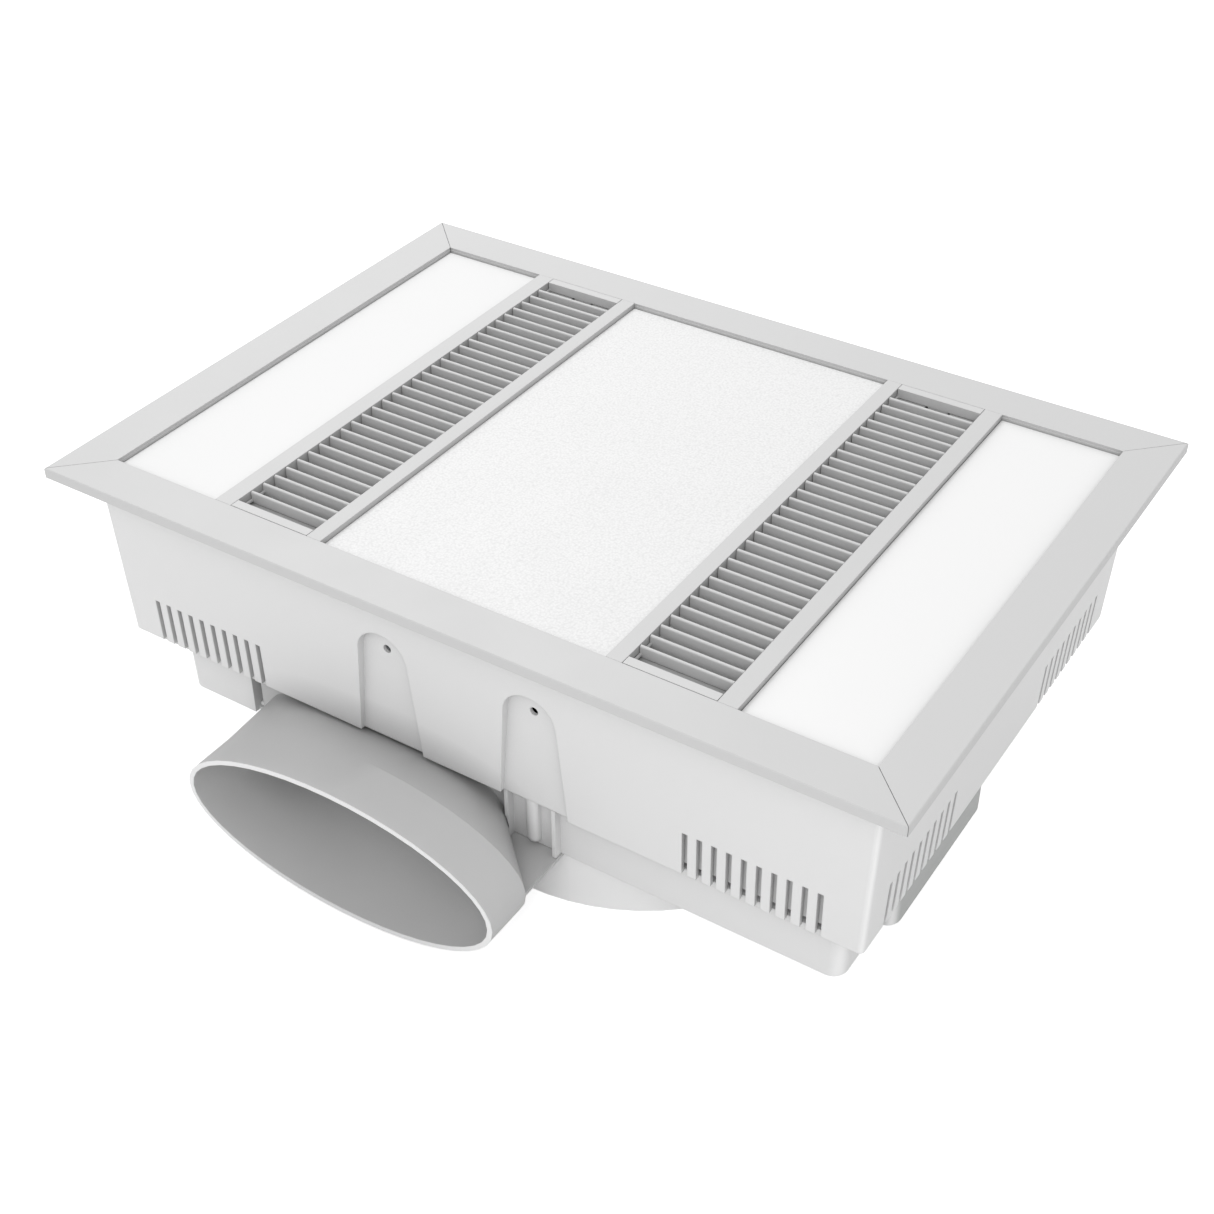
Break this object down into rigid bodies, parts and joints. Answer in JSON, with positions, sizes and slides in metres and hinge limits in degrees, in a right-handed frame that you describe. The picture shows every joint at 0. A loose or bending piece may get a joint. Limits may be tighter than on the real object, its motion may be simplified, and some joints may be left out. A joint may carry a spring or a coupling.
{
  "type": "exhaust fan with light",
  "caption": "Ceiling exhaust fan with lit diffuser panels, louvred intakes between them, a tapered housing, a fan scroll underneath and an oval duct collar on one side.",
  "frame": {"origin": "centre of the ceiling plane, which is the underside of the fascia flange", "axes": "+X along the long side of the fascia, +Y away from the duct collar, +Z out of the lit face of the fascia; in use +Z points down into the room"},
  "size_m": [0.5, 0.3871, 0.184],
  "materials": {
    "fascia_white": "smooth satin white moulding",
    "louvre_white": "smooth satin white moulding",
    "stippled_diffuser": "fine stippled translucent sheet",
    "opal_diffuser": "smooth opal translucent sheet",
    "sheet_steel": "zinc plated sheet",
    "led_board": "white solder mask",
    "housing_white": "fine grained white moulding",
    "tub_white": "fine grained off-white moulding",
    "duct_grey": "satin light grey moulding",
    "terminal_grey": "powder coated drawn sheet",
    "black_plastic": "satin black moulding",
    "magnet_grey": "dark pressed magnet and lamination steel",
    "copper_winding": "enamelled copper wire",
    "cable_grey": "satin mid grey moulding",
    "bright_steel": "zinc plated"
  },
  "bodies": {
    "housing": {"cable_gland": "cable_grey", "cable_gland_nut": "cable_grey", "centre_diffuser": "stippled_diffuser", "centre_led_board": "led_board", "centre_light_tray": "sheet_steel", "crossbar_inner_left": "fascia_white", "crossbar_inner_right": "fascia_white", "crossbar_outer_left": "fascia_white", "crossbar_outer_right": "fascia_white", "duct_adapter": "duct_grey", "fan_casing": "tub_white", "fan_casing_screw_1": "bright_steel", "fan_casing_screw_2": "bright_steel", "fan_casing_screw_3": "bright_steel", "fan_casing_screw_4": "bright_steel", "fascia_clip_back_left": "bright_steel", "fascia_clip_back_right": "bright_steel", "fascia_clip_front_left": "bright_steel", "fascia_clip_front_right": "bright_steel", "fascia_rail_back": "fascia_white", "fascia_rail_front": "fascia_white", "fascia_rail_left": "fascia_white", "fascia_rail_right": "fascia_white", "flap_hinge_pin": "bright_steel", "flap_return_spring": "bright_steel", "housing_sleeve": "housing_white", "housing_tub": "tub_white", "inlet_bellmouth": "tub_white", "inlet_plate": "sheet_steel", "inlet_plate_screw_1": "bright_steel", "inlet_plate_screw_2": "bright_steel", "inlet_plate_screw_3": "bright_steel", "inlet_plate_screw_4": "bright_steel", "led_driver": "black_plastic", "lower_bearing": "bright_steel", "motor_mount": "bright_steel", "motor_screw_1": "bright_steel", "motor_screw_2": "bright_steel", "motor_screw_3": "bright_steel", "run_capacitor": "cable_grey", "side_diffuser_left": "opal_diffuser", "side_diffuser_right": "opal_diffuser", "side_led_board_left": "led_board", "side_led_board_right": "led_board", "side_light_tray_left": "sheet_steel", "side_light_tray_right": "sheet_steel", "stator_stack": "magnet_grey", "stator_windings": "copper_winding", "terminal_block": "led_board", "terminal_box": "terminal_grey", "terminal_cover": "terminal_grey", "upper_bearing": "bright_steel"},
    "fan_rotor": {"fan_wheel": "black_plastic", "rotor_can": "bright_steel", "rotor_magnet": "magnet_grey", "motor_shaft": "bright_steel", "rotor_nut": "bright_steel"},
    "backdraft_flap": {"backdraft_flap": "duct_grey"},
    "grille_left": {"louvre_grille_left": "louvre_white"},
    "grille_right": {"louvre_grille_right": "louvre_white"}
  },
  "joints": [
    {"name": "fan_spin", "type": "hinge", "parent": "housing", "child": "fan_rotor", "pos_m": [0.0205, -0.03, -0.14], "axis": [0, 0, 1], "continuous": true},
    {"name": "flap_swing", "type": "hinge", "parent": "housing", "child": "backdraft_flap", "pos_m": [-0.06, -0.14694, -0.1465], "axis": [1, 0, 0], "range_deg": [0, 65], "stiffness_Nm_per_rad": 0.004, "springref_deg": -22.92},
    {"name": "grille_left_lift", "type": "slide", "parent": "housing", "child": "grille_left", "axis": [0, 0, 1], "range_m": [0, 0.03]},
    {"name": "grille_right_lift", "type": "slide", "parent": "housing", "child": "grille_right", "axis": [0, 0, 1], "range_m": [0, 0.03]}
  ]
}
